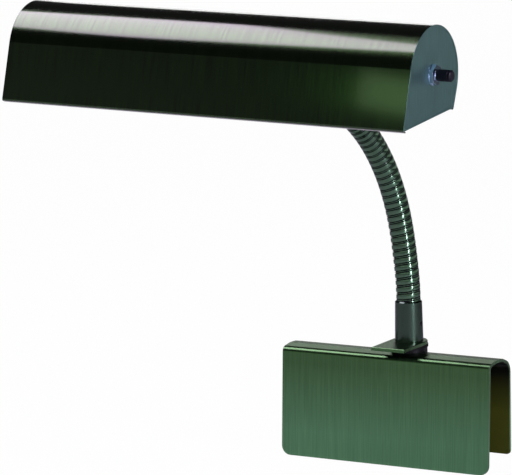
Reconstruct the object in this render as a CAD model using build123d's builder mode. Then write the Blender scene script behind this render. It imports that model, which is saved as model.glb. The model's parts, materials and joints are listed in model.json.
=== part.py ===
from build123d import *
from math import cos, radians, sin, sqrt, tan
import os

os.makedirs("parts", exist_ok=True)

# Piano lamp: a sheet-metal saddle that hangs over the top edge of a music desk carries a swivelling
# turret, and a gooseneck of hinged turns carries a long shade with a rotary switch on its right end.
# The origin lies on the inside of the saddle's crown, where the desk's edge bears.
# X runs along the saddle, the player sits on the -Y side and Z points up.  Millimetres and degrees.

# Clearances
FACE_GAP = 0.1      # between flat faces that slide on each other
RUN_FIT = 0.05      # radial, shaft in bore
SLIP_FIT = 0.05     # radial, fixed piece in its hole
LOOSE_FIT = 0.3     # between pieces that only pass each other

# Saddle: one bent sheet
SADDLE_LENGTH = 195
SADDLE_SHEET = 2.4
FRONT_LEG = 94.3            # from the ridge down to the front leg's bottom edge
BACK_LEG = 82.8
FRONT_FOOT_Y = -21.0        # outer faces of the legs at their bottom edges
BACK_FOOT_Y = 21.8
FRONT_SHOULDER = (-19.3, -2.4)      # corners of the crown before bending: Y, and Z from the ridge
BACK_SHOULDER = (19.6, -5.2)
LAND_FRONT_Y = -6.3         # the flat land along the ridge
LAND_BACK_Y = 4.3
FRONT_BEND = 5.0
CROWN_BEND = 12.0
BACK_BEND = 12.0
FRONT_CORNER = 8.0
BACK_CORNER = 3.0

# Turret: seat, friction washer, tongue plate and collar on one stud
TURRET_X = 11.4
TURRET_Y = 3.4
TURRET_RISE = 8.8           # tongue plate's top above the ridge
TURRET_LEAN = 2.5           # forward, as the front of the crown falls away
PLATE_RADIUS = 15.4
PLATE_REACH = 38.5
PLATE_THICK = 2.9
PLATE_CHAMFER = 0.4
WASHER_RADIUS = 15.9
WASHER_THICK = 2.2
SEAT_RADIUS = 15.2
SEAT_DEPTH = 6.0
STUD_RADIUS = 4.0
STUD_TAIL = 0.8             # stud left proud of its nut
STUD_CHAMFER = 0.5
STUD_NUT_AF = 13.0
STUD_NUT_HEIGHT = 5.0
COLLAR_FOOT_RADIUS = 11.9
COLLAR_TOP_RADIUS = 11.3
COLLAR_HEIGHT = 34.0
COLLAR_CHAMFER = 1.0
COLLAR_FLOOR = 4.0
COLLAR_BORE = 9.0
SET_SCREW_HEIGHT = 15.0
SET_SCREW_RADIUS = 2.0
SET_SCREW_HEX_AF = 2.0

# Gooseneck: its winding taken as links of four turns each, every link's tapered spigot standing in
# the recess of the next one, with a hinge in the middle of the gap between them
TURN_PITCH = 6.05
TURN_GAP = 2.1
LINK_TURNS = 4
NECK_RADIUS = 10.2
SPIGOT_TIP_RADIUS = 8.0
SPIGOT_RISE = 3.5           # tip of the spigot above the hinge
SPIGOT_GAP = 0.6            # space around the tip in its recess
HINGE_SWING = 10.0          # most that one hinge turns before its gap closes
NECK_YAW = 6.1              # the neck's bending plane is turned this far from the saddle's
NECK_BENDS = (-0.8, 2.3, 6.3, 9.5, 10.6, 11.3, 11.3, 10.4, 8.6, 5.8, 2.3, -1.7, -5.6)
NECK_SWAYS = (-6.5, -0.5, -0.3, -0.1, 0.2, 0.4, 0.6, 0.8, 1.0, 1.2, 1.4, 1.7, 1.9)

# Shade, with its section seen from the right end: U towards the back wall, V up along the walls
SHADE_LENGTH = 355.6
SHADE_RADIUS = 39.4
SHADE_SHEET = 1.0
FRONT_WALL = 50.0           # depth below the centre of the rounded top
FRONT_DRAFT = 5.6           # the front wall is drawn in towards its foot
BACK_WALL = 16.0
HEM_WIDTH = 4.0
HEM_BEND = 1.5
CAP_SHEET = 1.0
CAP_RIM = 6.0
HEAD_ROLL = -5.6            # turns the shade level on the end of the neck

# Neck to shade
SLEEVE_RADIUS = 11.2
SLEEVE_LENGTH = 13.05       # from the last hinge to the shade's back wall
HEAD_STUD_RADIUS = 5.0
HEAD_STUD_TAIL = 1.5
HEAD_NUT_AF = 14.0
HEAD_NUT_HEIGHT = 4.0

# Cord inlet in the left end cap
INLET_U = 14.0
INLET_V = 8.0
INLET_BORE = 2.6
GROMMET_RADIUS = 3.6
GROMMET_FLANGE = 5.2
GROMMET_PROUD = 1.5
GROMMET_TAIL = 2.5          # inside the cap

# Lamp holder and lamp
BRACKET_SHEET = 1.6
BRACKET_WIDTH = 20.0
BRACKET_BACKING = 2.8       # depth of the foot from the shade's wall
BRACKET_TAB_X = 62.0
BRACKET_TAB_REACH = 44.4     # past the lamp's centre line, clear of the front wall
BRACKET_FOOT_X = -14.0
HOLDER_RADIUS = 18.0
HOLDER_LENGTH = 40.0
HOLDER_BORE = 14.6
HOLDER_FLOOR = 10.0
HOLDER_CHAMFER = 1.5
SHELL_RADIUS = 14.4
SHELL_SHEET = 0.6
BASE_RADIUS = 13.2
BASE_LENGTH = 24.0
BASE_GAP = 3.0              # foot of the lamp's cap above the holder's floor
CONTACT_RADIUS = 4.5
CONTACT_THICK = 1.2
BULB_RADIUS = 16.0
BULB_LENGTH = 112.0
BULB_NECK_LENGTH = 12.0
BULB_NECK_RADIUS = 12.6
BULB_DOME_RADIUS = 24.0
BULB_TIP_RADIUS = 2.0

# Rotary switch on the right end cap
SWITCH_U = -4.0
SWITCH_V = 1.0
SWITCH_BODY_RADIUS = 10.0
SWITCH_BODY_LENGTH = 16.0
SWITCH_BODY_CHAMFER = 0.8
BUSHING_RADIUS = 4.75
BUSHING_TAIL = 0.5
SHAFT_RADIUS = 3.0
SHAFT_INSIDE = 9.0
SWITCH_WASHER_RADIUS = 7.9
SWITCH_WASHER_THICK = 1.2
SWITCH_NUT_AF = 14.3
SWITCH_NUT_HEIGHT = 3.1
KNOB_RADIUS = 4.5
KNOB_LENGTH = 12.0
KNOB_CHAMFER = 0.9
KNOB_RING_DEPTH = 0.4
KNOB_RING_WIDTH = 0.8
KNOB_CROWN = 2.4            # length of the knob beyond its ring
KNOB_SOCKET = 8.0


def save(part, label):
    """Label a finished piece and write it as its own STEP file."""
    part.label = label
    export_step(part, f"parts/{label}.step")


def square_plane(plane):
    """The plane that holds another plane's X direction and its normal, for profiles to revolve."""
    return Plane(origin=plane.origin, x_dir=plane.x_dir, z_dir=-plane.y_dir)


def normal_axis(plane):
    """The line through a plane's origin, square to it."""
    return Axis(plane.origin, plane.z_dir)


def on_plane(plane, x, y, height=0.0):
    """A plane parallel to another, moved within it and along its normal."""
    shift = plane.x_dir * x + plane.y_dir * y + plane.z_dir * height
    return Plane(origin=plane.origin + shift, x_dir=plane.x_dir, z_dir=plane.z_dir)


# Saddle

def saddle_outer_line():
    """The outer line of the bent sheet, from the front foot over the ridge to the back foot."""
    ridge = SADDLE_SHEET
    FilletPolyline(
        (FRONT_FOOT_Y, ridge - FRONT_LEG),
        (FRONT_SHOULDER[0], ridge + FRONT_SHOULDER[1]),
        (LAND_FRONT_Y, ridge),
        (LAND_BACK_Y, ridge),
        (BACK_SHOULDER[0], ridge + BACK_SHOULDER[1]),
        (BACK_FOOT_Y, ridge - BACK_LEG),
        radius=[FRONT_BEND, CROWN_BEND, CROWN_BEND, BACK_BEND],
    )


lean = radians(TURRET_LEAN)
turret = Plane(
    origin=(TURRET_X, TURRET_Y, SADDLE_SHEET + TURRET_RISE),
    x_dir=(1, 0, 0),
    z_dir=(0, -sin(lean), cos(lean)),
)
stack_depth = PLATE_THICK + WASHER_THICK + SEAT_DEPTH

with BuildPart() as saddle:
    with BuildSketch(Plane.YZ):
        with BuildLine():
            saddle_outer_line()
            offset(amount=SADDLE_SHEET, side=Side.RIGHT)
        make_face()
    extrude(amount=SADDLE_LENGTH / 2, both=True)
    for side, corner in ((-1, FRONT_CORNER), (1, BACK_CORNER)):
        short = saddle.edges().filter_by(lambda edge: edge.length < 1.5 * SADDLE_SHEET)
        leg = short.filter_by(lambda edge: edge.center().Y * side > 0)
        fillet(leg.group_by(Axis.Z)[0], radius=corner)
    with BuildSketch(turret):
        Circle(STUD_RADIUS + SLIP_FIT)
    extrude(amount=-2 * stack_depth, mode=Mode.SUBTRACT)
save(saddle.part, "clamp_saddle")

# Turret on the saddle

seat_top = turret.offset(-PLATE_THICK - WASHER_THICK - 2 * FACE_GAP)

with BuildPart() as seat:
    with BuildSketch(seat_top):
        Circle(SEAT_RADIUS)
        Circle(STUD_RADIUS + SLIP_FIT, mode=Mode.SUBTRACT)
    extrude(amount=-SEAT_DEPTH)
    with BuildSketch(Plane.YZ):
        with BuildLine():
            saddle_outer_line()
            Line((FRONT_FOOT_Y, SADDLE_SHEET - FRONT_LEG), (BACK_FOOT_Y, SADDLE_SHEET - BACK_LEG))
        make_face()
    extrude(amount=SADDLE_LENGTH / 2, both=True, mode=Mode.SUBTRACT)
save(seat.part, "swivel_seat")

with BuildPart() as washer:
    with BuildSketch(turret.offset(-PLATE_THICK)):
        Circle(WASHER_RADIUS)
        Circle(STUD_RADIUS + RUN_FIT, mode=Mode.SUBTRACT)
    extrude(amount=-WASHER_THICK)
save(washer.part, "friction_washer")

with BuildPart() as plate:
    with BuildSketch(turret):
        Circle(PLATE_RADIUS)
        Rectangle(2 * PLATE_RADIUS, PLATE_REACH, align=(Align.CENTER, Align.MAX))
    extrude(amount=-PLATE_THICK)
    top_edges = plate.faces().sort_by(normal_axis(turret))[-1].edges()
    chamfer(top_edges, length=PLATE_CHAMFER)
    with BuildSketch(turret):
        Circle(STUD_RADIUS + RUN_FIT)
    extrude(amount=-PLATE_THICK, mode=Mode.SUBTRACT)
save(plate.part, "swivel_plate")

nut_seat = COLLAR_FLOOR + FACE_GAP
stud_top = nut_seat + STUD_NUT_HEIGHT + STUD_TAIL
stud_foot = (TURRET_RISE + SADDLE_SHEET) / cos(lean) - LOOSE_FIT

with BuildPart() as stud:
    with BuildSketch(turret.offset(stud_top)):
        Circle(STUD_RADIUS)
    extrude(amount=-stud_top - stud_foot)
    chamfer(stud.edges().sort_by(normal_axis(turret))[-1], length=STUD_CHAMFER)
save(stud.part, "swivel_stud")

with BuildPart() as stud_nut:
    with BuildSketch(turret.offset(nut_seat)):
        RegularPolygon(STUD_NUT_AF / 2, 6, major_radius=False)
        Circle(STUD_RADIUS + SLIP_FIT, mode=Mode.SUBTRACT)
    extrude(amount=STUD_NUT_HEIGHT)
save(stud_nut.part, "stud_nut")

foot_start = stud_top + LOOSE_FIT
set_screw_line = Plane(
    origin=on_plane(turret, 0, 0, SET_SCREW_HEIGHT).origin,
    x_dir=turret.y_dir,
    z_dir=turret.x_dir,
)

with BuildPart() as collar:
    with BuildSketch(square_plane(turret)):
        with BuildLine():
            Polyline(
                (STUD_RADIUS + RUN_FIT, 0),
                (COLLAR_FOOT_RADIUS, 0),
                (COLLAR_TOP_RADIUS, COLLAR_HEIGHT - COLLAR_CHAMFER),
                (COLLAR_TOP_RADIUS - COLLAR_CHAMFER, COLLAR_HEIGHT),
                (COLLAR_BORE, COLLAR_HEIGHT),
                (COLLAR_BORE, COLLAR_FLOOR),
                (STUD_RADIUS + RUN_FIT, COLLAR_FLOOR),
                close=True,
            )
        make_face()
    revolve(axis=normal_axis(turret))
    with BuildSketch(set_screw_line):
        Circle(SET_SCREW_RADIUS + SLIP_FIT)
    extrude(amount=COLLAR_FOOT_RADIUS, mode=Mode.SUBTRACT)
save(collar.part, "neck_collar")

with BuildPart() as set_screw:
    with BuildSketch(set_screw_line.offset(COLLAR_BORE)):
        Circle(SET_SCREW_RADIUS)
    extrude(amount=COLLAR_TOP_RADIUS - COLLAR_BORE)
    with BuildSketch(set_screw_line.offset(COLLAR_TOP_RADIUS)):
        RegularPolygon(SET_SCREW_HEX_AF / 2, 6, major_radius=False)
    extrude(amount=-SET_SCREW_RADIUS / 2, mode=Mode.SUBTRACT)
save(set_screw.part, "collar_set_screw")

# Gooseneck

link_length = LINK_TURNS * TURN_PITCH
half_gap = TURN_GAP / 2
swing = radians(HINGE_SWING)
recess_depth = SPIGOT_TIP_RADIUS * sin(swing) + SPIGOT_RISE * cos(swing) + LOOSE_FIT
recess_slope = (NECK_RADIUS - SPIGOT_TIP_RADIUS - SPIGOT_GAP) / (SPIGOT_RISE - half_gap)
recess_floor_radius = NECK_RADIUS - recess_slope * (recess_depth - half_gap)


def link_bend_axis(start, bend, sway):
    """The line that a link's curved centre line turns about, with the whole turn in degrees."""
    turn = Vector(bend, sway, 0).length
    radius = link_length / radians(turn)
    towards = (start.x_dir * sway - start.y_dir * bend).normalized()
    return Axis(start.origin + towards * radius, start.x_dir * bend + start.y_dir * sway), turn


def along_link(start, bend, sway, distance):
    """The plane square to a link's centre line, a distance along it from the link's start."""
    axis, turn = link_bend_axis(start, bend, sway)
    spin = Axis((0, 0, 0), axis.direction)
    angle = turn * distance / link_length
    return Plane(
        origin=axis.position + (start.origin - axis.position).rotate(spin, angle),
        x_dir=start.x_dir.rotate(spin, angle),
        z_dir=start.z_dir.rotate(spin, angle),
    )


def taper(plane, foot, foot_radius, top, top_radius, mode=Mode.ADD):
    """A cone between two heights above a plane, turned about the plane's normal."""
    with BuildSketch(square_plane(plane)) as profile:
        with BuildLine():
            Polyline((0, foot), (foot_radius, foot), (top_radius, top), (0, top), close=True)
        make_face()
    revolve(profile.sketch, axis=normal_axis(plane), mode=mode)


def spigot(hinge):
    """The tapered spigot that reaches up through a hinge from the rim of the piece below it."""
    taper(hinge, -half_gap, NECK_RADIUS, SPIGOT_RISE, SPIGOT_TIP_RADIUS)


def recess(hinge):
    """The recess above a hinge, wide enough for the spigot to swing in."""
    taper(hinge, half_gap, NECK_RADIUS, recess_depth, recess_floor_radius, Mode.SUBTRACT)


def neck_link(start, bend, sway):
    """One link: a recess at its foot, two straight halves that follow the neck's curve, a spigot."""
    hinge = along_link(start, bend, sway, link_length)
    half_turn = link_bend_axis(start, bend, sway)[1] / 2
    elbow = start.offset(link_length / radians(2 * half_turn) * tan(radians(half_turn)))
    foot = start.offset(half_gap)
    with BuildPart() as link:
        with BuildLine():
            Polyline(foot.origin, elbow.origin, hinge.offset(-half_gap).origin)
        with BuildSketch(foot):
            Circle(NECK_RADIUS)
        sweep(transition=Transition.RIGHT)
        spigot(hinge)
        recess(start)
    return link.part, hinge


yaw = radians(NECK_YAW)
first_hinge = turret.offset(COLLAR_HEIGHT + half_gap)
yawed = Vector(cos(yaw), -sin(yaw), 0)
yawed = yawed - first_hinge.z_dir * yawed.dot(first_hinge.z_dir)
first_hinge = Plane(origin=first_hinge.origin, x_dir=yawed, z_dir=first_hinge.z_dir)

with BuildPart() as neck_foot:
    with BuildSketch(turret.offset(foot_start)):
        Circle(COLLAR_BORE - SLIP_FIT)
    extrude(amount=COLLAR_HEIGHT - foot_start)
    spigot(first_hinge)
save(neck_foot.part, "neck_foot")

hinge = first_hinge
for number, (bend, sway) in enumerate(zip(NECK_BENDS, NECK_SWAYS), start=1):
    link, hinge = neck_link(hinge, bend, sway)
    save(link, f"neck_link_{number:02d}")

# Head: planes shared by the pieces that ride on the end of the neck

roll = Axis((0, 0, 0), hinge.z_dir)
head = Plane(
    origin=hinge.origin,
    x_dir=hinge.x_dir.rotate(roll, HEAD_ROLL),
    z_dir=hinge.z_dir,
)
shade_middle = head.offset(SLEEVE_LENGTH + SHADE_RADIUS)
section = Plane(origin=shade_middle.origin, x_dir=-head.z_dir, z_dir=head.x_dir)
draft = radians(FRONT_DRAFT)


def front_top(inset):
    """Where the front wall leaves the rounded top."""
    radius = SHADE_RADIUS - inset
    return (-radius * cos(draft), -radius * sin(draft))


def front_foot(inset, lift=0.0):
    """The foot of the front wall."""
    u, v = front_top(inset)
    foot = inset + lift - FRONT_WALL
    return (u + (v - foot) * tan(draft), foot)


def filled_section(plane, inset, lift=0.0):
    """The closed area within the shade's section, a distance inside its outer line."""
    radius = SHADE_RADIUS - inset
    foot = inset + lift - BACK_WALL
    with BuildSketch(plane) as area:
        with BuildLine():
            Line(front_foot(inset, lift), front_top(inset))
            ThreePointArc(front_top(inset), (0, radius), (radius, 0))
            Polyline(
                (radius, 0),
                (radius, foot),
                (SHADE_RADIUS - HEM_WIDTH, foot),
                front_foot(inset, lift),
            )
        make_face()
    return area.sketch


with BuildPart() as shell:
    with BuildSketch(section):
        with BuildLine():
            FilletPolyline(
                (front_foot(0)[0] + HEM_WIDTH, -FRONT_WALL),
                front_foot(0),
                front_top(0),
                radius=HEM_BEND,
            )
            ThreePointArc(front_top(0), (0, SHADE_RADIUS), (SHADE_RADIUS, 0))
            FilletPolyline(
                (SHADE_RADIUS, 0),
                (SHADE_RADIUS, -BACK_WALL),
                (SHADE_RADIUS - HEM_WIDTH, -BACK_WALL),
                radius=HEM_BEND,
            )
            offset(amount=SHADE_SHEET, side=Side.RIGHT)
        make_face()
    extrude(amount=SHADE_LENGTH / 2, both=True)
    with BuildSketch(head):
        Circle(HEAD_STUD_RADIUS + SLIP_FIT)
    extrude(amount=SHADE_RADIUS, mode=Mode.SUBTRACT)
save(shell.part, "shade_shell")


def end_cap(outer_face, inward):
    """A pan that closes one end of the shell, its rim turned inwards along the shell's wall."""
    inset = SHADE_SHEET + SLIP_FIT
    disc = filled_section(outer_face, inset, LOOSE_FIT)
    hollow = filled_section(outer_face.offset(inward * CAP_SHEET), inset + CAP_SHEET, LOOSE_FIT)
    with BuildPart() as cap:
        extrude(disc, amount=inward * CAP_RIM)
        extrude(hollow, amount=inward * CAP_RIM, mode=Mode.SUBTRACT)
    return cap.part


left_end = section.offset(-SHADE_LENGTH / 2)
right_end = section.offset(SHADE_LENGTH / 2)
switch_face = on_plane(right_end, SWITCH_U, SWITCH_V)
inlet_face = on_plane(left_end, INLET_U, INLET_V)

with BuildPart() as left_cap:
    add(end_cap(left_end, 1))
    with BuildSketch(inlet_face):
        Circle(GROMMET_RADIUS + SLIP_FIT)
    extrude(amount=CAP_RIM, mode=Mode.SUBTRACT)
save(left_cap.part, "end_cap_left")

with BuildPart() as grommet:
    with BuildSketch(inlet_face):
        Circle(GROMMET_FLANGE)
    extrude(amount=-GROMMET_PROUD)
    with BuildSketch(inlet_face):
        Circle(GROMMET_RADIUS)
    extrude(amount=GROMMET_TAIL)
    with BuildSketch(inlet_face.offset(-GROMMET_PROUD)):
        Circle(INLET_BORE)
    extrude(amount=GROMMET_PROUD + GROMMET_TAIL, mode=Mode.SUBTRACT)
save(grommet.part, "cord_grommet")

with BuildPart() as right_cap:
    add(end_cap(right_end, -1))
    with BuildSketch(switch_face):
        Circle(BUSHING_RADIUS + SLIP_FIT)
    extrude(amount=-CAP_RIM, mode=Mode.SUBTRACT)
save(right_cap.part, "end_cap_right")

# Fixing of the shade on the neck

stud_start = recess_depth + LOOSE_FIT

with BuildPart() as sleeve:
    with BuildSketch(head.offset(half_gap)):
        Circle(NECK_RADIUS)
    extrude(amount=TURN_PITCH)
    with BuildSketch(head.offset(TURN_PITCH)):
        Circle(SLEEVE_RADIUS)
    extrude(amount=SLEEVE_LENGTH)
    recess(head)
    extrude(filled_section(section, 0), amount=2 * SLEEVE_RADIUS, both=True, mode=Mode.SUBTRACT)
    with BuildSketch(head.offset(stud_start)):
        Circle(HEAD_STUD_RADIUS + SLIP_FIT)
    extrude(amount=SHADE_RADIUS, mode=Mode.SUBTRACT)
save(sleeve.part, "neck_sleeve")

wall_inside = SLEEVE_LENGTH + SHADE_SHEET
foot_inside = wall_inside + BRACKET_BACKING
stud_end = foot_inside + HEAD_NUT_HEIGHT + HEAD_STUD_TAIL

with BuildPart() as head_stud:
    with BuildSketch(head.offset(stud_start + FACE_GAP)):
        Circle(HEAD_STUD_RADIUS)
    extrude(amount=stud_end - stud_start - FACE_GAP)
save(head_stud.part, "head_stud")

with BuildPart() as head_nut:
    with BuildSketch(head.offset(foot_inside)):
        RegularPolygon(HEAD_NUT_AF / 2, 6, major_radius=False)
        Circle(HEAD_STUD_RADIUS + SLIP_FIT, mode=Mode.SUBTRACT)
    extrude(amount=HEAD_NUT_HEIGHT)
save(head_nut.part, "head_nut")

# Lamp holder on its bracket, and the lamp

holder_end = section.offset(BRACKET_TAB_X)          # the holder's closed end, on the bracket's tab
holder_mouth = section.offset(BRACKET_TAB_X - HOLDER_LENGTH)
tab_middle_x = BRACKET_TAB_X + BRACKET_SHEET / 2
foot_length = BRACKET_TAB_X + BRACKET_SHEET - BRACKET_FOOT_X

with BuildPart() as bracket:
    with BuildSketch(head.offset(foot_inside)):
        with Locations((BRACKET_FOOT_X + foot_length / 2, 0)):
            Rectangle(foot_length, BRACKET_WIDTH)
    extrude(amount=-2 * BRACKET_BACKING)
    inside = filled_section(section, SHADE_SHEET + SLIP_FIT)
    extrude(inside, amount=SHADE_LENGTH / 2, both=True, mode=Mode.INTERSECT)
    with BuildSketch(head.offset(foot_inside - BRACKET_SHEET / 2)):
        with Locations((tab_middle_x, 0)):
            Rectangle(BRACKET_SHEET, BRACKET_WIDTH)
    extrude(amount=BRACKET_TAB_REACH)
    with BuildSketch(head):
        Circle(HEAD_STUD_RADIUS + SLIP_FIT)
    extrude(amount=2 * SHADE_RADIUS, mode=Mode.SUBTRACT)
save(bracket.part, "socket_bracket")

with BuildPart() as holder:
    with BuildSketch(holder_mouth):
        Circle(HOLDER_RADIUS)
    extrude(amount=HOLDER_LENGTH)
    chamfer(holder.edges().sort_by(normal_axis(section))[0], length=HOLDER_CHAMFER)
    with BuildSketch(holder_mouth):
        Circle(HOLDER_BORE)
    extrude(amount=HOLDER_LENGTH - HOLDER_FLOOR, mode=Mode.SUBTRACT)
save(holder.part, "lamp_holder")

holder_floor = holder_end.offset(-HOLDER_FLOOR)
shell_length = BASE_LENGTH + BASE_GAP

with BuildPart() as screw_shell:
    with BuildSketch(holder_floor):
        Circle(SHELL_RADIUS)
        Circle(SHELL_RADIUS - SHELL_SHEET, mode=Mode.SUBTRACT)
    extrude(amount=-shell_length)
save(screw_shell.part, "screw_shell")

with BuildPart() as centre_contact:
    with BuildSketch(holder_floor):
        Circle(CONTACT_RADIUS)
    extrude(amount=-CONTACT_THICK)
save(centre_contact.part, "centre_contact")

base_foot = holder_floor.offset(-BASE_GAP)
tip_height = BASE_GAP - CONTACT_THICK - FACE_GAP

with BuildPart() as lamp_cap:
    with BuildSketch(base_foot):
        Circle(BASE_RADIUS)
    extrude(amount=-BASE_LENGTH)
    chamfer(lamp_cap.edges().sort_by(normal_axis(section))[-1], length=tip_height)
    with BuildSketch(base_foot):
        Circle(CONTACT_RADIUS)
    extrude(amount=tip_height)
save(lamp_cap.part, "lamp_cap")

bulb_start = base_foot.offset(-BASE_LENGTH)
bulb_profile = Plane(origin=bulb_start.origin, x_dir=head.y_dir, z_dir=head.z_dir)
dome_height = sqrt(BULB_DOME_RADIUS**2 - BULB_TIP_RADIUS**2) - sqrt(BULB_DOME_RADIUS**2 - BULB_RADIUS**2)

with BuildPart() as bulb:
    with BuildSketch(bulb_profile):
        with BuildLine():
            wall = Polyline(
                (0, 0),
                (BULB_NECK_RADIUS, 0),
                (BULB_RADIUS, BULB_NECK_LENGTH),
                (BULB_RADIUS, BULB_LENGTH - dome_height),
            )
            dome = RadiusArc(wall @ 1, (BULB_TIP_RADIUS, BULB_LENGTH), -BULB_DOME_RADIUS)
            Polyline(dome @ 1, (0, BULB_LENGTH), (0, 0))
        make_face()
    revolve(axis=normal_axis(bulb_start))
save(bulb.part, "lamp_bulb")

# Rotary switch

cap_inside = switch_face.offset(-CAP_SHEET)
nut_face = SWITCH_WASHER_THICK + SWITCH_NUT_HEIGHT
shaft_length = SHAFT_INSIDE + CAP_SHEET + nut_face + BUSHING_TAIL + FACE_GAP + KNOB_SOCKET

with BuildPart() as switch_body:
    with BuildSketch(cap_inside):
        Circle(SWITCH_BODY_RADIUS)
    extrude(amount=-SWITCH_BODY_LENGTH)
    chamfer(switch_body.edges().sort_by(normal_axis(section))[0], length=SWITCH_BODY_CHAMFER)
    with BuildSketch(cap_inside):
        Circle(BUSHING_RADIUS + SLIP_FIT)
    extrude(amount=-SHAFT_INSIDE - FACE_GAP, mode=Mode.SUBTRACT)
save(switch_body.part, "switch_body")

with BuildPart() as bushing:
    with BuildSketch(cap_inside.offset(-SHAFT_INSIDE)):
        Circle(BUSHING_RADIUS)
        Circle(SHAFT_RADIUS + RUN_FIT, mode=Mode.SUBTRACT)
    extrude(amount=SHAFT_INSIDE + CAP_SHEET + nut_face + BUSHING_TAIL)
save(bushing.part, "switch_bushing")

with BuildPart() as switch_washer:
    with BuildSketch(switch_face):
        Circle(SWITCH_WASHER_RADIUS)
        Circle(BUSHING_RADIUS + SLIP_FIT, mode=Mode.SUBTRACT)
    extrude(amount=SWITCH_WASHER_THICK)
save(switch_washer.part, "switch_washer")

with BuildPart() as switch_nut:
    with BuildSketch(switch_face.offset(SWITCH_WASHER_THICK)):
        RegularPolygon(SWITCH_NUT_AF / 2, 6, major_radius=False, rotation=0)
        Circle(BUSHING_RADIUS + SLIP_FIT, mode=Mode.SUBTRACT)
    extrude(amount=SWITCH_NUT_HEIGHT)
save(switch_nut.part, "switch_nut")

with BuildPart() as shaft:
    with BuildSketch(cap_inside.offset(-SHAFT_INSIDE + FACE_GAP)):
        Circle(SHAFT_RADIUS)
    extrude(amount=shaft_length - FACE_GAP)
save(shaft.part, "switch_shaft")

knob_foot = switch_face.offset(nut_face + BUSHING_TAIL + FACE_GAP)

with BuildPart() as knob:
    with BuildSketch(square_plane(knob_foot)):
        with BuildLine():
            ring_start = KNOB_LENGTH - KNOB_CROWN - KNOB_RING_WIDTH
            Polyline(
                (0, 0),
                (KNOB_RADIUS, 0),
                (KNOB_RADIUS, ring_start),
                (KNOB_RADIUS - KNOB_RING_DEPTH, ring_start + KNOB_RING_WIDTH / 2),
                (KNOB_RADIUS, ring_start + KNOB_RING_WIDTH),
                (KNOB_RADIUS, KNOB_LENGTH - KNOB_CHAMFER),
                (KNOB_RADIUS - KNOB_CHAMFER, KNOB_LENGTH),
                (0, KNOB_LENGTH),
                close=True,
            )
        make_face()
    revolve(axis=normal_axis(knob_foot))
    with BuildSketch(knob_foot):
        Circle(SHAFT_RADIUS + SLIP_FIT)
    extrude(amount=KNOB_SOCKET + FACE_GAP, mode=Mode.SUBTRACT)
save(knob.part, "switch_knob")
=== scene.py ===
import json
from math import cos, pi, radians, sin, tan, tau

import bmesh
import bpy
from mathutils import Matrix, Vector


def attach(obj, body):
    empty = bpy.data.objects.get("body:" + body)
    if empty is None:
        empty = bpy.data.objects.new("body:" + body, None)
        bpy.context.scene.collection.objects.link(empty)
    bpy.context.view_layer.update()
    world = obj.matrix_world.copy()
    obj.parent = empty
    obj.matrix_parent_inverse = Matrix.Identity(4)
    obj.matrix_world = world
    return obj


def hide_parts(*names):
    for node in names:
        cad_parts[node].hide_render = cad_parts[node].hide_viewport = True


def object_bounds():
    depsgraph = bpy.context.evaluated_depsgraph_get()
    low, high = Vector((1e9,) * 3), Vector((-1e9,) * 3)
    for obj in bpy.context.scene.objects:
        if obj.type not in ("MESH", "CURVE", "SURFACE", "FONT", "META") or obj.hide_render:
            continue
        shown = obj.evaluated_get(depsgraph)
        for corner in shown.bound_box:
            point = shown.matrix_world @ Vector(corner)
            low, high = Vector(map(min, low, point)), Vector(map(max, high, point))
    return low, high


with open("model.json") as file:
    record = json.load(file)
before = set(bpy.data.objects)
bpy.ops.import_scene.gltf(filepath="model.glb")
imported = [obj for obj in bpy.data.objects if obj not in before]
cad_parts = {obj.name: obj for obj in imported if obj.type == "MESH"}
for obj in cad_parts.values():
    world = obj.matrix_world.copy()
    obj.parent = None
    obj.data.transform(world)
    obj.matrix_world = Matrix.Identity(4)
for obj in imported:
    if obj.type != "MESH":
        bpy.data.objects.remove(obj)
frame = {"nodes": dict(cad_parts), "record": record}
cad_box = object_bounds()
nodes = frame["nodes"]
joints = {joint["name"]: joint for joint in frame["record"]["behaviour"]["joints"]}

# A piano lamp with a dark green brushed finish, lit as on a white studio table.  Metres throughout.

# Camera, as the photograph was taken: from the switch end, a little above the shade
CAMERA_PLACE = Vector((1.34236, -2.52202, 0.47275))
CAMERA_YAW = 30.354
CAMERA_PITCH = 7.486
CAMERA_ROLL = -0.202
FOCAL_PIXELS = 3457.035
IMAGE_WIDTH = 512
SENSOR_WIDTH = 36.0
CLIP_END = 100

# The room that the lamp mirrors: height of the view's direction, and how pale the room is there
ROOM_STOPS = ((0.03, 1.0), (0.11, 0.38), (0.22, 0.21), (0.31, 0.03))
ROOM_STRENGTH = 0.9

# Floor
FLOOR_HALF = 6.0
FLOOR_DROP = 0.001          # below the lamp's lowest point
FLOOR_COLOUR = (0.74, 0.82, 0.76, 1)
FLOOR_ROUGHNESS = 0.9
FLOOR_WHITE = 0.985         # share of plain white in what the camera sees of it

# Lamps.  The key and the side lean to magenta, so that highlights on the green metal come out near
# grey, and the fill leans to green
LIGHTS = (
    {
        "name": "key", "place": (-0.88, -0.54, 1.56), "target": (-0.02, -0.23, 0.26),
        "width": 1.2, "height": 0.70, "watts": 17, "colour": (1.13, 0.85, 1.2),
    },
    {
        "name": "side", "place": (1.12, -0.455, 0.40), "target": (0.0, 0.0, 0.15),
        "width": 0.10, "height": 1.5, "watts": 18, "colour": (1.08, 0.88, 1.22),
    },
    {
        "name": "back", "place": (-0.75, 1.13, 0.64), "target": (0.0, 0.0, 0.0),
        "width": 0.6, "height": 0.3, "watts": 0.8, "colour": (1, 1, 1),
    },
    {
        "name": "fill", "place": (0.03, -0.52, 0.325), "target": (0.16, -0.27, 0.25),
        "width": 0.08, "height": 0.03, "watts": 0.008, "colour": (0.75, 1.1, 0.6),
    },
)

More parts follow.
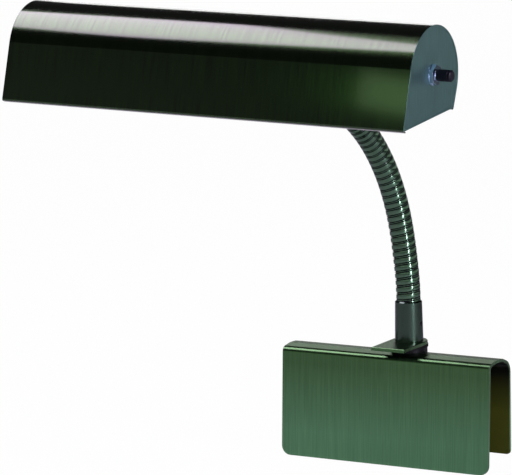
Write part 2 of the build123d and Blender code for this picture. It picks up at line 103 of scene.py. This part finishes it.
# Gooseneck winding
TURN_PITCH = 0.00605
LINK_TURNS = 4
LINK_COUNT = 13
NECK_RADIUS = 0.0102
CORE_RADIUS = 0.0080
CORE_REACH = 0.0035         # of the core past each side of the groove between two links
CORE_INSET = 0.0002         # of the core below the foot of the grooves
HALF_GAP = 0.00105          # between the neck's ends and the collar or the sleeve
END_REACH = 0.9             # share of the end gaps that the winding fills
SEAM = 0.000001
ROUND_STEPS = 48
# Section of one turn from ridge to ridge: share of the pitch, and depth below the flat band
TURN_SECTION = (
    (0.00, 0.00010), (0.04, 0.00014), (0.06, 0.00080), (0.12, 0.00100), (0.18, 0.00075),
    (0.20, 0.00012), (0.29, 0.00005), (0.40, 0.00001), (0.50, 0.0), (0.60, 0.00001),
    (0.71, 0.00005), (0.80, 0.00012),
    (0.82, 0.00075), (0.88, 0.00100), (0.94, 0.00080), (0.96, 0.00014),
)
CREASE_ANGLE = 20.0
# Groove faces get the near-black core material, as painted shade in the grooves
GROOVE_DEPTH = 0.0003       # faces whose middle lies deeper than this are dark

# Shade: its middle, the direction from its front wall to its back wall, and its section
SHADE_MIDDLE = Vector((-0.020055, -0.236022, 0.258967))
SHADE_BACKWARD = Vector((-0.011966, 0.951557, -0.307240))
SHADE_LENGTH = 0.3556
SHADE_RADIUS = 0.0394
FRONT_WALL = 0.0500         # depth below the centre of the rounded top
FRONT_DRAFT = 5.6
BACK_WALL = 0.0160
HEM_WIDTH = 0.0040
HEM_BEND = 0.0015
LIP_THICK = 0.0002
LIP_INSET = 0.00008
LIP_WIDTH = 0.0018

# What all the materials share
NOISE_MIDDLE = (0.3, 0.7)   # where the values of a noise mostly lie
BEVEL_SAMPLES = 6
EDGE_RADIUS = 0.0003
NECK_EDGE_RADIUS = 0.00002
COAT_ROUGHNESS = 0.12

# Brushed grain: scales of its noise along the axes, its height, and its share in the roughness
ALONG_GRAIN = (1500, 25, 25)
CAP_GRAIN = (25, 1300, 40)
GRAIN_DETAIL = 4.0
GRAIN_HEIGHT = 0.000006
GRAIN_ROUGHNESS = 0.6
ACROSS_TANGENT = 0.25       # turn of the anisotropy that stretches highlights along the shade

# Mottle of the plain pieces, in the same way
MOTTLE_GRAIN = (900, 900, 900)
MOTTLE_DETAIL = 3.0
MOTTLE_HEIGHT = 0.00001
MOTTLE_DEPTH = 0.12
SMOOTHEST, ROUGHEST = 0.85, 1.2
LACQUER_GRAIN = (200, 200, 200)
LACQUER_HEIGHT = 0.000004
LACQUER_DEPTH = 0.08
LACQUER_EDGE = (0.35, 0.37, 0.42, 1)
DULL_SPECULAR = 0.15

# Saddle: face greener lower down, and olive and darker near its top from painted shade
CLAMP_COLOUR = (0.112, 0.275, 0.130)
FACE_TOP = -0.012
FACE_FOOT = -0.070
FACE_TOP_PAINTED_SHADE = (0.62, 0.58, 0.46)
FACE_FOOT_PAINTED_SHADE = (1, 1, 1)
# Inside: olive, with painted shade that makes it black near the top
INSIDE_TOP = -0.012
INSIDE_FOOT = -0.045
INSIDE_TOP_PAINTED_SHADE = (0.003, 0.004, 0.002)
INSIDE_FOOT_COLOUR = (0.075, 0.095, 0.010)
INSIDE_METALLIC = 0.3

LINK_LENGTH = LINK_TURNS * TURN_PITCH
NECK_LENGTH = LINK_COUNT * LINK_LENGTH


# Camera and light

def camera_axes():
    """The camera's right, up and forward directions from its yaw, pitch and roll."""
    yaw, pitch, roll = radians(CAMERA_YAW), radians(CAMERA_PITCH), radians(CAMERA_ROLL)
    forward = Vector((-sin(yaw) * cos(pitch), cos(yaw) * cos(pitch), -sin(pitch)))
    level_right = Vector((cos(yaw), sin(yaw), 0))
    level_up = level_right.cross(forward)
    right = level_right * cos(roll) + level_up * sin(roll)
    return right, right.cross(forward), forward


def add_camera():
    data = bpy.data.cameras.new("camera")
    data.sensor_width = SENSOR_WIDTH
    data.lens = FOCAL_PIXELS / IMAGE_WIDTH * SENSOR_WIDTH
    data.clip_end = CLIP_END
    camera = bpy.data.objects.new("camera", data)
    bpy.context.scene.collection.objects.link(camera)
    right, up, forward = camera_axes()
    turn = Matrix((right, up, -forward)).transposed().to_4x4()
    camera.matrix_world = Matrix.Translation(CAMERA_PLACE) @ turn
    bpy.context.scene.camera = camera


def add_area_light(name, place, target, width, height, watts, colour):
    data = bpy.data.lights.new(name, "AREA")
    data.shape = "RECTANGLE"
    data.size = width
    data.size_y = height
    data.energy = watts
    data.color = colour
    light = bpy.data.objects.new(name, data)
    light.visible_camera = False
    bpy.context.scene.collection.objects.link(light)
    away = (Vector(place) - Vector(target)).normalized()
    side = Vector((0, 0, 1)).cross(away).normalized()
    turn = Matrix((side, away.cross(side), away)).transposed().to_4x4()
    light.matrix_world = Matrix.Translation(place) @ turn


def add_world():
    """White to the camera alone: the lamp mirrors a room, pale at the horizon and dim overhead."""
    world = bpy.data.worlds.new("studio")
    bpy.context.scene.world = world
    world.use_nodes = True
    tree = world.node_tree
    tree.nodes.clear()
    place = tree.nodes.new("ShaderNodeTexCoord")
    split = tree.nodes.new("ShaderNodeSeparateXYZ")
    tree.links.new(place.outputs["Generated"], split.inputs[0])
    ramp = tree.nodes.new("ShaderNodeValToRGB")
    stops = ramp.color_ramp.elements
    for stop, (height, level) in zip(stops[:], (ROOM_STOPS[0], ROOM_STOPS[-1])):
        stop.position = height
        stop.color = (level, level, level, 1)
    for height, level in ROOM_STOPS[1:-1]:
        stops.new(height).color = (level, level, level, 1)
    tree.links.new(split.outputs["Z"], ramp.inputs["Fac"])
    room = tree.nodes.new("ShaderNodeBackground")
    room.inputs["Strength"].default_value = ROOM_STRENGTH
    tree.links.new(ramp.outputs["Color"], room.inputs["Color"])
    white = tree.nodes.new("ShaderNodeBackground")
    white.inputs["Color"].default_value = (1, 1, 1, 1)
    rays = tree.nodes.new("ShaderNodeLightPath")
    mix = tree.nodes.new("ShaderNodeMixShader")
    tree.links.new(rays.outputs["Is Camera Ray"], mix.inputs["Fac"])
    tree.links.new(room.outputs[0], mix.inputs[1])
    tree.links.new(white.outputs[0], mix.inputs[2])
    output = tree.nodes.new("ShaderNodeOutputWorld")
    tree.links.new(mix.outputs[0], output.inputs["Surface"])


def floor_material():
    """Pale matt floor that the camera sees almost white, so that no shadow shows on it."""
    material = bpy.data.materials.new("studio_floor")
    material.use_nodes = True
    tree = material.node_tree
    surface = tree.nodes["Principled BSDF"]
    surface.inputs["Base Color"].default_value = FLOOR_COLOUR
    surface.inputs["Roughness"].default_value = FLOOR_ROUGHNESS
    surface.inputs["Specular IOR Level"].default_value = 0.0
    glow = tree.nodes.new("ShaderNodeEmission")
    rays = tree.nodes.new("ShaderNodeLightPath")
    share = tree.nodes.new("ShaderNodeMath")
    share.operation = "MULTIPLY"
    share.inputs[1].default_value = FLOOR_WHITE
    tree.links.new(rays.outputs["Is Camera Ray"], share.inputs[0])
    mix = tree.nodes.new("ShaderNodeMixShader")
    tree.links.new(share.outputs[0], mix.inputs["Fac"])
    tree.links.new(surface.outputs[0], mix.inputs[1])
    tree.links.new(glow.outputs[0], mix.inputs[2])
    tree.links.new(mix.outputs[0], tree.nodes["Material Output"].inputs["Surface"])
    return material


def add_floor():
    height = cad_box[0][2] - FLOOR_DROP
    mesh = bpy.data.meshes.new("floor")
    corners = [
        (x * FLOOR_HALF, y * FLOOR_HALF, height)
        for x, y in ((-1, -1), (1, -1), (1, 1), (-1, 1))
    ]
    mesh.from_pydata(corners, [], [(0, 1, 2, 3)])
    mesh.materials.append(floor_material())
    floor = bpy.data.objects.new("floor", mesh)
    bpy.context.scene.collection.objects.link(floor)


# Materials

def new_material(name, colour, metallic, roughness):
    material = bpy.data.materials.new(name)
    material.use_nodes = True
    surface = material.node_tree.nodes["Principled BSDF"]
    surface.inputs["Base Color"].default_value = (*colour, 1)
    surface.inputs["Metallic"].default_value = metallic
    surface.inputs["Roughness"].default_value = roughness
    return material, material.node_tree, surface


def noise(tree, scale, detail):
    """A noise in object space, stretched by a scale for each axis."""
    place = tree.nodes.new("ShaderNodeTexCoord")
    stretch = tree.nodes.new("ShaderNodeMapping")
    stretch.inputs["Scale"].default_value = scale
    tree.links.new(place.outputs["Object"], stretch.inputs["Vector"])
    texture = tree.nodes.new("ShaderNodeTexNoise")
    texture.inputs["Scale"].default_value = 1.0
    texture.inputs["Detail"].default_value = detail
    tree.links.new(stretch.outputs["Vector"], texture.inputs["Vector"])
    return texture.outputs["Fac"]


def spread(tree, value, low, high):
    """Maps the middle of a noise onto a range."""
    node = tree.nodes.new("ShaderNodeMapRange")
    node.inputs["From Min"].default_value = NOISE_MIDDLE[0]
    node.inputs["From Max"].default_value = NOISE_MIDDLE[1]
    node.inputs["To Min"].default_value = low
    node.inputs["To Max"].default_value = high
    tree.links.new(value, node.inputs["Value"])
    return node.outputs["Result"]


def tint(tree, surface, colour, value, depth):
    """Lets a noise darken and lighten a colour by a share."""
    mix = tree.nodes.new("ShaderNodeMix")
    mix.data_type = "RGBA"
    mix.inputs["A"].default_value = (*[channel * (1 - depth) for channel in colour], 1)
    mix.inputs["B"].default_value = (*[channel * (1 + depth) for channel in colour], 1)
    tree.links.new(spread(tree, value, 0, 1), mix.inputs["Factor"])
    tree.links.new(mix.outputs["Result"], surface.inputs["Base Color"])


def relief(tree, surface, value, height, edge=EDGE_RADIUS):
    """A bump from a noise over edges that are slightly rounded."""
    rounded = tree.nodes.new("ShaderNodeBevel")
    rounded.samples = BEVEL_SAMPLES
    rounded.inputs["Radius"].default_value = edge
    bump = tree.nodes.new("ShaderNodeBump")
    bump.inputs["Strength"].default_value = 1.0
    bump.inputs["Distance"].default_value = height
    tree.links.new(value, bump.inputs["Height"])
    tree.links.new(rounded.outputs["Normal"], bump.inputs["Normal"])
    tree.links.new(bump.outputs["Normal"], surface.inputs["Normal"])


def brushed(name, colour, roughness, grain, depth, around=None, lustre=0.0, coat=0.0):
    """Lacquered metal with a fine brushed grain: grain gives the noise's scale along each axis."""
    material, tree, surface = new_material(name, colour, 1.0, roughness)
    streaks = noise(tree, grain, GRAIN_DETAIL)
    tint(tree, surface, colour, streaks, depth)
    uneven = roughness * depth * GRAIN_ROUGHNESS
    rough = spread(tree, streaks, roughness - uneven, roughness + uneven)
    tree.links.new(rough, surface.inputs["Roughness"])
    relief(tree, surface, streaks, GRAIN_HEIGHT)
    surface.inputs["Anisotropic"].default_value = lustre
    surface.inputs["Anisotropic Rotation"].default_value = ACROSS_TANGENT
    surface.inputs["Coat Weight"].default_value = coat
    surface.inputs["Coat Roughness"].default_value = COAT_ROUGHNESS
    if around:
        tangent = tree.nodes.new("ShaderNodeTangent")
        tangent.direction_type = "RADIAL"
        tangent.axis = around
        tree.links.new(tangent.outputs["Tangent"], surface.inputs["Tangent"])
    return material


def by_height(tree, place, top, foot, top_colour, foot_colour):
    """A colour that runs evenly between two heights of the object."""
    height = tree.nodes.new("ShaderNodeSeparateXYZ")
    tree.links.new(place.outputs["Object"], height.inputs[0])
    share = tree.nodes.new("ShaderNodeMapRange")
    share.inputs["From Min"].default_value = foot
    share.inputs["From Max"].default_value = top
    tree.links.new(height.outputs["Z"], share.inputs["Value"])
    mix = tree.nodes.new("ShaderNodeMix")
    mix.data_type = "RGBA"
    mix.inputs["A"].default_value = (*foot_colour, 1)
    mix.inputs["B"].default_value = (*top_colour, 1)
    tree.links.new(share.outputs["Result"], mix.inputs["Factor"])
    return mix.outputs["Result"]


def clamp_enamel():
    """The saddle's brushed enamel, and its duller olive inside, where faces look at the origin."""
    material = brushed(
        "clamp_brushed", CLAMP_COLOUR, 0.30, ALONG_GRAIN, 0.14, around="X", lustre=0.7, coat=0.05)
    tree = material.node_tree
    surface = tree.nodes["Principled BSDF"]
    place = tree.nodes.new("ShaderNodeTexCoord")
    outward = tree.nodes.new("ShaderNodeVectorMath")
    outward.operation = "DOT_PRODUCT"
    tree.links.new(place.outputs["Object"], outward.inputs[0])
    tree.links.new(place.outputs["Normal"], outward.inputs[1])
    inside = tree.nodes.new("ShaderNodeMath")
    inside.operation = "LESS_THAN"
    inside.inputs[1].default_value = 0.0
    tree.links.new(outward.outputs["Value"], inside.inputs[0])
    # Painted shade: the inside goes from olive to black towards the top
    inner = by_height(
        tree, place, INSIDE_TOP, INSIDE_FOOT, INSIDE_TOP_PAINTED_SHADE, INSIDE_FOOT_COLOUR)
    # Painted shade: the face gets darker and more olive towards its top
    painted_face_shade = by_height(tree, place, FACE_TOP, FACE_FOOT, FACE_TOP_PAINTED_SHADE, FACE_FOOT_PAINTED_SHADE)
    outer = tree.nodes.new("ShaderNodeMix")
    outer.data_type = "RGBA"
    outer.blend_type = "MULTIPLY"
    outer.inputs["Factor"].default_value = 1.0
    tree.links.new(surface.inputs["Base Color"].links[0].from_socket, outer.inputs["A"])
    tree.links.new(painted_face_shade, outer.inputs["B"])
    colour = tree.nodes.new("ShaderNodeMix")
    colour.data_type = "RGBA"
    tree.links.new(outer.outputs["Result"], colour.inputs["A"])
    tree.links.new(inner, colour.inputs["B"])
    tree.links.new(inside.outputs["Value"], colour.inputs["Factor"])
    tree.links.new(colour.outputs["Result"], surface.inputs["Base Color"])
    metallic = tree.nodes.new("ShaderNodeMapRange")
    metallic.inputs["To Min"].default_value = 1.0
    metallic.inputs["To Max"].default_value = INSIDE_METALLIC
    tree.links.new(inside.outputs["Value"], metallic.inputs["Value"])
    tree.links.new(metallic.outputs["Result"], surface.inputs["Metallic"])
    return material


def plain(name, colour, metallic, roughness, depth=MOTTLE_DEPTH, grain=MOTTLE_GRAIN,
          height=MOTTLE_HEIGHT, edge=EDGE_RADIUS):
    """Plated, moulded or turned pieces: an even colour with a faint mottle and soft edges."""
    material, tree, surface = new_material(name, colour, metallic, roughness)
    mottle = noise(tree, grain, MOTTLE_DETAIL)
    tint(tree, surface, colour, mottle, depth)
    rough = spread(tree, mottle, roughness * SMOOTHEST, roughness * ROUGHEST)
    tree.links.new(rough, surface.inputs["Roughness"])
    relief(tree, surface, mottle, height, edge)
    return material


def dull(name, colour, roughness):
    """A black piece that mirrors little of the room."""
    material = plain(name, colour, 0.0, roughness)
    surface = material.node_tree.nodes["Principled BSDF"]
    surface.inputs["Specular IOR Level"].default_value = DULL_SPECULAR
    return material


def lacquer(name, colour, roughness, coat, edge=EDGE_RADIUS):
    """Smooth dark lacquer on steel, whose edges mirror little and whose clear coat stays white."""
    material = plain(
        name, colour, 1.0, roughness, LACQUER_DEPTH, LACQUER_GRAIN, LACQUER_HEIGHT, edge)
    surface = material.node_tree.nodes["Principled BSDF"]
    surface.inputs["Specular Tint"].default_value = LACQUER_EDGE
    surface.inputs["Coat Weight"].default_value = coat
    surface.inputs["Coat Roughness"].default_value = COAT_ROUGHNESS
    return material


def frosted_glass(name):
    """The lamp's glass, white from its inner coating."""
    material = plain(name, (0.86, 0.86, 0.82), 0.0, 0.35, depth=0.04, height=0.000004)
    surface = material.node_tree.nodes["Principled BSDF"]
    surface.inputs["Transmission Weight"].default_value = 0.35
    surface.inputs["IOR"].default_value = 1.45
    surface.inputs["Coat Weight"].default_value = 0.6
    surface.inputs["Coat Roughness"].default_value = 0.1
    return material


materials = {
    "shade": brushed(
        "shade_brushed", (0.024, 0.060, 0.016), 0.21, ALONG_GRAIN, 0.35,
        around="X", lustre=0.8, coat=1.0),
    "clamp": clamp_enamel(),
    "cap": brushed("cap_brushed", (0.115, 0.235, 0.215), 0.42, CAP_GRAIN, 0.18),
    "neck": lacquer("neck_lacquer", (0.060, 0.140, 0.072), 0.18, 0.8, NECK_EDGE_RADIUS),
    "collar": lacquer("collar_lacquer", (0.022, 0.056, 0.030), 0.22, 0.7),
    # Near-black: the neck's core and foot, and the painted shade of the winding's grooves
    "core": dull("neck_core_and_groove_shade", (0.002, 0.003, 0.004), 0.6),
    # Near-black, partly the pieces' own black and partly painted shade under the swivel plate
    "black_steel": dull("black_steel", (0.003, 0.004, 0.004), 0.45),
    "fibre": dull("fibre_washer_and_shade", (0.003, 0.003, 0.003), 0.7),
    "bright": plain("bright_plate", (0.45, 0.57, 0.70), 1.0, 0.13, depth=0.05),
    "zinc": plain("zinc_plate", (0.52, 0.52, 0.49), 1.0, 0.35),
    "brass": plain("brass_plain", (0.70, 0.50, 0.22), 1.0, 0.3),
    "knob": dull("knob_black", (0.002, 0.003, 0.006), 0.4),
    "moulded": plain("moulded_black", (0.016, 0.016, 0.016), 0.0, 0.4),
    "rubber": plain("rubber_black", (0.018, 0.018, 0.018), 0.0, 0.65),
    "glass": frosted_glass("lamp_glass"),
}

finishes = {
    "clamp_saddle": "clamp", "swivel_plate": "clamp", "swivel_seat": "black_steel",
    "friction_washer": "fibre", "swivel_stud": "zinc", "stud_nut": "zinc",
    "neck_collar": "collar", "collar_set_screw": "black_steel", "cord_grommet": "rubber",
    "neck_foot": "core", "neck_sleeve": "collar", "head_stud": "zinc", "head_nut": "zinc",
    "shade_shell": "shade", "end_cap_left": "cap", "end_cap_right": "cap",
    "socket_bracket": "zinc", "lamp_holder": "moulded", "screw_shell": "brass",
    "centre_contact": "brass", "lamp_cap": "bright", "lamp_bulb": "glass",
    "switch_body": "moulded", "switch_bushing": "bright", "switch_washer": "bright",
    "switch_nut": "bright", "switch_shaft": "zinc", "switch_knob": "knob",
}


def dress_nodes():
    for name, finish in finishes.items():
        for material_slot in nodes[name].material_slots:
            material_slot.material = materials[finish]


# End caps

def rounded(before, corner, after):
    """Three points that round a corner of the shade's section over its hem's bend."""
    start, end = [corner + (point - corner).normalized() * HEM_BEND for point in (before, after)]
    return [start, start / 4 + corner / 2 + end / 4, end]


def section_line(inset):
    """The closed outline of the shade's section, a distance inside: U to the back, V up."""
    radius = SHADE_RADIUS - inset
    draft = radians(FRONT_DRAFT)
    front_top = Vector((-radius * cos(draft), -radius * sin(draft)))
    depth = FRONT_WALL - inset
    front_foot = Vector((front_top.x + (front_top.y + depth) * tan(draft), -depth))
    back_foot = Vector((radius, inset - BACK_WALL))
    back_hem = Vector((SHADE_RADIUS - HEM_WIDTH, inset - BACK_WALL))
    line = rounded(back_hem, front_foot, front_top)
    for step in range(ROUND_STEPS + 1):
        angle = (pi + draft) * (1 - step / ROUND_STEPS)
        line.append(Vector((radius * cos(angle), radius * sin(angle))))
    return line + rounded(Vector((radius, 0)), back_foot, back_hem) + [back_hem]


def add_cap_lip(name, end):
    """The narrow lip of an end cap, over the cut edge of the shade's sheet and hems."""
    along = Vector(joints["knob_turn"]["axis"]).normalized()
    up = along.cross(SHADE_BACKWARD)
    points = []
    for reach in (0, LIP_THICK):
        for inset in (LIP_INSET, LIP_WIDTH):
            line = section_line(inset)
            for point in line:
                outward = along * end * (SHADE_LENGTH / 2 + reach)
                points.append(SHADE_MIDDLE + outward + SHADE_BACKWARD * point.x + up * point.y)
    count = len(line)
    # Outer edge at the shade's end, outer and inner edge of the free face, inner edge at the end
    loops = [range(count * number, count * (number + 1)) for number in (0, 2, 3, 1)]
    faces = []
    for loop, beside in zip(loops, loops[1:] + loops[:1]):
        for step in range(count):
            after = (step + 1) % count
            corners = (loop[step], loop[after], beside[after], beside[step])
            faces.append(corners if end < 0 else corners[::-1])
    mesh = bpy.data.meshes.new(name)
    mesh.from_pydata([tuple(point) for point in points], [], faces)
    mesh.materials.append(materials["cap"])
    lip = bpy.data.objects.new(name, mesh)
    bpy.context.scene.collection.objects.link(lip)
    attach(lip, "head")


# Gooseneck

def joint_point(name):
    return Vector(joints[name]["pos_m"])


def neck_hinges():
    """Places of the neck's hinges from the foot up, bends and sways by turns."""
    names = []
    for number in range(1, (LINK_COUNT + 1) // 2 + 1):
        names += [f"neck_bend_{number:02d}", f"neck_sway_{number:02d}"]
    return [joint_point(name) for name in names]


def neck_tangents(points):
    """Directions at the hinges: each stretch is an arc, so its ends lean alike to its chord."""
    directions = [Vector(joints["turret_swivel"]["axis"]).normalized()]
    for start, end in zip(points, points[1:]):
        chord = (end - start).normalized()
        last = directions[-1]
        directions.append((2 * chord.dot(last) * chord - last).normalized())
    return directions


hinges = neck_hinges()
tangents = neck_tangents(hinges)


def along_neck(distance):
    """Point and direction on the neck's centre line, past its ends in a straight line."""
    if distance <= 0:
        return hinges[0] + tangents[0] * distance, tangents[0]
    if distance >= NECK_LENGTH:
        return hinges[-1] + tangents[-1] * (distance - NECK_LENGTH), tangents[-1]
    number = min(int(distance / LINK_LENGTH), LINK_COUNT - 1)
    share = distance / LINK_LENGTH - number
    start, end = hinges[number], hinges[number + 1]
    leave, arrive = tangents[number] * LINK_LENGTH, tangents[number + 1] * LINK_LENGTH
    square, cube = share**2, share**3
    point = (
        start * (2 * cube - 3 * square + 1)
        + leave * (cube - 2 * square + share)
        + end * (3 * square - 2 * cube)
        + arrive * (cube - square)
    )
    slope = (
        (start - end) * (6 * square - 6 * share)
        + leave * (3 * square - 4 * share + 1)
        + arrive * (3 * square - 2 * share)
    )
    return point, slope.normalized()


def neck_point(distance, angle, radius):
    """A point on the neck's skin; angles run from the side away from the player."""
    point, direction = along_neck(distance)
    side = Vector(joints["neck_bend_01"]["axis"])
    side = (side - direction * side.dot(direction)).normalized()
    back = direction.cross(side)
    return point + (back * cos(angle) - side * sin(angle)) * radius


def skin_rows(start, turns):
    """Rows across a stretch of skin, closed inwards at its ends: distance on the neck, radius."""
    rows = [(start, CORE_RADIUS)]
    for turn in range(turns):
        for share, depth in TURN_SECTION:
            rows.append((start + (turn + share) * TURN_PITCH, NECK_RADIUS - depth))
    end = start + turns * TURN_PITCH
    rows.append((end, NECK_RADIUS - TURN_SECTION[0][1]))
    rows.append((end, CORE_RADIUS))
    return rows


def skin_faces(rows):
    """Points of the skin, climbing one pitch a turn; its bright faces and its grooves' painted
    shade.
    """
    lowest, highest = -HALF_GAP * END_REACH, NECK_LENGTH + HALF_GAP * END_REACH
    points, free = [], []
    for distance, radius in rows:
        for step in range(ROUND_STEPS + 1):
            place = distance + TURN_PITCH * (step / ROUND_STEPS - 0.5)
            held = max(lowest, min(place, highest))
            points.append(neck_point(held, tau * step / ROUND_STEPS, radius))
            free.append(lowest < place < highest)
    across = ROUND_STEPS + 1
    bright, dark = [], []
    for row, ((_, inner), (_, outer)) in enumerate(zip(rows, rows[1:])):
        # Faces deep in the grooves are painted near-black as shade
        faces = dark if NECK_RADIUS - (inner + outer) / 2 > GROOVE_DEPTH else bright
        for step in range(ROUND_STEPS):
            corner = row * across + step
            corners = (corner, corner + 1, corner + across + 1, corner + across)
            if any(free[index] for index in corners):
                faces.append(corners)
    return points, bright, dark


def core_faces(top, points):
    """Adds the core under the groove above a link to the points and returns its faces."""
    heights = (top - TURN_PITCH, top - CORE_REACH, top, top + CORE_REACH)
    base = len(points)
    faces = []
    for height in heights:
        for step in range(ROUND_STEPS):
            points.append(neck_point(height, tau * step / ROUND_STEPS, CORE_RADIUS - CORE_INSET))
    for row in range(len(heights) - 1):
        for step in range(ROUND_STEPS):
            here = base + row * ROUND_STEPS + step
            beside = base + row * ROUND_STEPS + (step + 1) % ROUND_STEPS
            faces.append((here, beside, beside + ROUND_STEPS, here + ROUND_STEPS))
    return faces


def winding_piece(name, body, start, turns, core=True):
    """A stretch of the neck's winding that rides on one body."""
    points, bright, dark = skin_faces(skin_rows(start, turns))
    if core:
        # The core in the gap between two links is near-black as well: painted shade
        dark += core_faces(start + turns * TURN_PITCH, points)
    mesh = bpy.data.meshes.new(name)
    mesh.from_pydata([tuple(point) for point in points], [], bright + dark)
    mesh.materials.append(materials["neck"])
    mesh.materials.append(materials["core"])
    for face in mesh.polygons:
        face.material_index = int(face.index >= len(bright))
        face.use_smooth = True
    shape = bmesh.new()
    shape.from_mesh(mesh)
    loose = [vert for vert in shape.verts if not vert.link_faces]
    bmesh.ops.delete(shape, geom=loose, context="VERTS")
    bmesh.ops.dissolve_degenerate(shape, dist=SEAM, edges=shape.edges)
    shape.to_mesh(mesh)
    shape.free()
    mesh.set_sharp_from_angle(angle=radians(CREASE_ANGLE))
    piece = bpy.data.objects.new(name, mesh)
    bpy.context.scene.collection.objects.link(piece)
    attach(piece, body)
    return piece


def add_winding():
    for number in range(LINK_COUNT):
        label = f"{number + 1:02d}"
        start = number * LINK_LENGTH
        piece = winding_piece(f"neck_winding_{label}", f"link_{label}", start, LINK_TURNS)
        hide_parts(f"neck_link_{label}")
    winding_piece("neck_winding_foot", "turret", -TURN_PITCH, 1, core=False)
    winding_piece("neck_winding_top", "head", NECK_LENGTH, 1, core=False)


add_camera()
add_world()
add_floor()
for light_row in LIGHTS:
    add_area_light(**light_row)
dress_nodes()
add_cap_lip("cap_lip_left", -1)
add_cap_lip("cap_lip_right", 1)
add_winding()

scene = bpy.context.scene
scene.view_settings.view_transform = "Standard"
